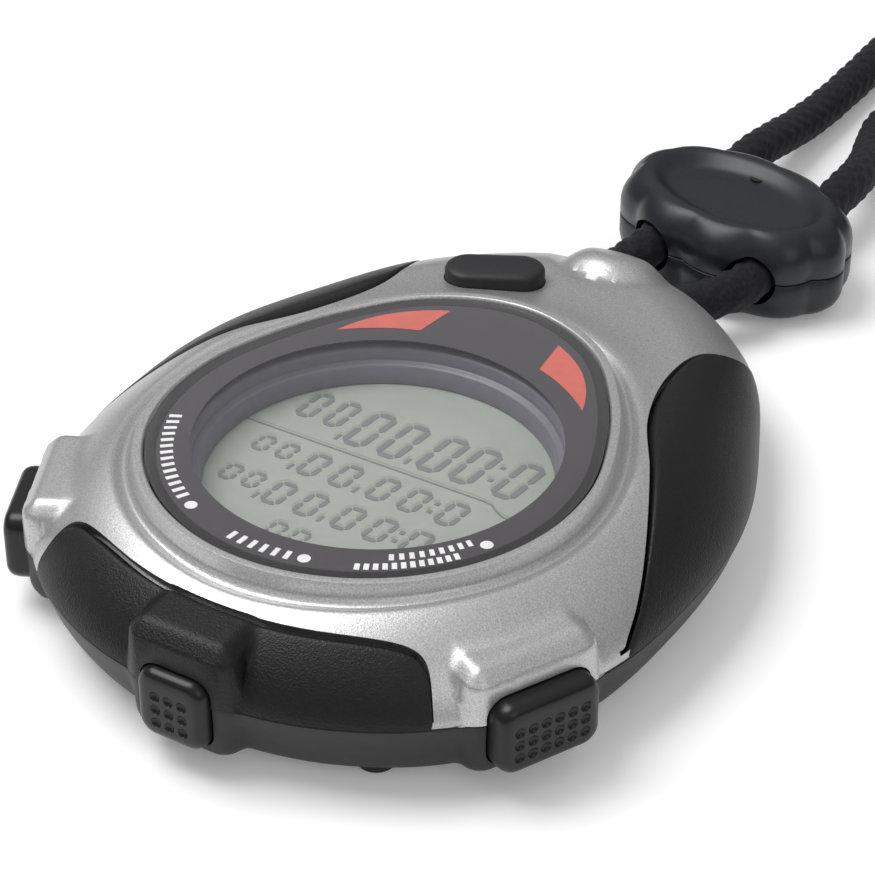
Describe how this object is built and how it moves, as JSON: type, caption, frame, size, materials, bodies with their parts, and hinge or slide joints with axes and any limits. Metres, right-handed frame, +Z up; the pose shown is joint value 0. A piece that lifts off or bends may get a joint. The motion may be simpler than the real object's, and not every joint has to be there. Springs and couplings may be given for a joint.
{
  "type": "digital stopwatch",
  "caption": "Hand-held digital sports stopwatch with three sprung side buttons, a top key, a turning battery cap and a braided neck lanyard with a slider.",
  "frame": {"origin": "on the surface that the watch lies on, below the middle of the watch without its cord", "axes": "+Z up through the lens, +Y towards the end with the three push buttons, +X to the start and stop button's side"},
  "size_m": [0.0845, 0.2194, 0.0173],
  "materials": {
    "shell_silver": "satin metallic paint on moulded plastic",
    "cover_grey": "smooth matte",
    "grip_black": "fine texture",
    "button_black": "satin gloss",
    "lens_clear": "clear acrylic",
    "dial_print": "printed",
    "bezel_grey": "satin",
    "lcd": "display glass",
    "seal_rubber": "smooth",
    "steel": "bright",
    "brass": "bright",
    "white_plastic": "smooth",
    "board_green": "solder mask",
    "chip_black": "epoxy",
    "elastomer": "soft",
    "part_tan": "ceramic",
    "cord_black": "braided polyester",
    "tie_grey": "hook and loop strap",
    "slider_rubber": "satin"
  },
  "bodies": {
    "case": {"front_shell": "shell_silver", "rear_cover": "cover_grey", "case_seal": "seal_rubber", "case_screws": "steel", "grip_button_end": "grip_black", "grip_left": "grip_black", "grip_right": "grip_black", "lens": "lens_clear", "lens_gasket": "seal_rubber", "dial_mask": "dial_print", "display_bezel": "bezel_grey", "lcd_glass": "lcd", "lcd_reflector": "white_plastic", "zebra_strips": "elastomer", "module_frame": "white_plastic", "circuit_board": "board_green", "chip_blob": "chip_black", "quartz_crystal": "steel", "board_components": "part_tan", "board_screws": "steel", "side_switches": "chip_black", "piezo_buzzer": "brass", "buzzer_springs": "steel", "coin_cell": "steel", "contact_plus": "brass", "contact_minus": "brass", "stem_seals": "seal_rubber", "spring_start": "steel", "spring_recall": "steel", "spring_lap": "steel", "mode_spring": "steel", "lanyard_post": "steel", "cord_bight": "cord_black", "lanyard_cord": "cord_black", "lanyard_coil": "cord_black", "cord_tie": "tie_grey"},
    "start_button": {"cap_start": "button_black", "stem_start": "steel", "clip_start": "steel"},
    "recall_button": {"cap_recall": "button_black", "stem_recall": "steel", "clip_recall": "steel"},
    "lap_button": {"cap_lap": "button_black", "stem_lap": "steel", "clip_lap": "steel"},
    "mode_key": {"mode_button": "button_black"},
    "battery_door": {"battery_cap": "cover_grey", "battery_cap_seal": "seal_rubber"},
    "cord_slider": {"slider_upper": "slider_rubber", "slider_lower": "slider_rubber", "slider_pins": "chip_black"}
  },
  "joints": [
    {"name": "start_press", "type": "slide", "parent": "case", "child": "start_button", "axis": [-0.8988, -0.4384, 0], "range_m": [0, 0.0013], "stiffness_N_per_m": 1000, "springref_m": -0.002, "deforming": ["spring_start"]},
    {"name": "recall_press", "type": "slide", "parent": "case", "child": "recall_button", "axis": [0, -1, 0], "range_m": [0, 0.0013], "stiffness_N_per_m": 1000, "springref_m": -0.002, "deforming": ["spring_recall"]},
    {"name": "lap_press", "type": "slide", "parent": "case", "child": "lap_button", "axis": [0.8988, -0.4384, 0], "range_m": [0, 0.0013], "stiffness_N_per_m": 1000, "springref_m": -0.002, "deforming": ["spring_lap"]},
    {"name": "mode_press", "type": "slide", "parent": "case", "child": "mode_key", "axis": [0, 0, -1], "range_m": [0, 0.0008], "stiffness_N_per_m": 900, "springref_m": -0.0015, "deforming": ["mode_spring"]},
    {"name": "battery_turn", "type": "hinge", "parent": "case", "child": "battery_door", "pos_m": [0, -0.008, 0], "axis": [0, 0, -1], "range_deg": [0, 45]},
    {"name": "slider_move", "type": "slide", "parent": "case", "child": "cord_slider", "axis": [0, -1, 0], "range_m": [0, 0.008]}
  ]
}
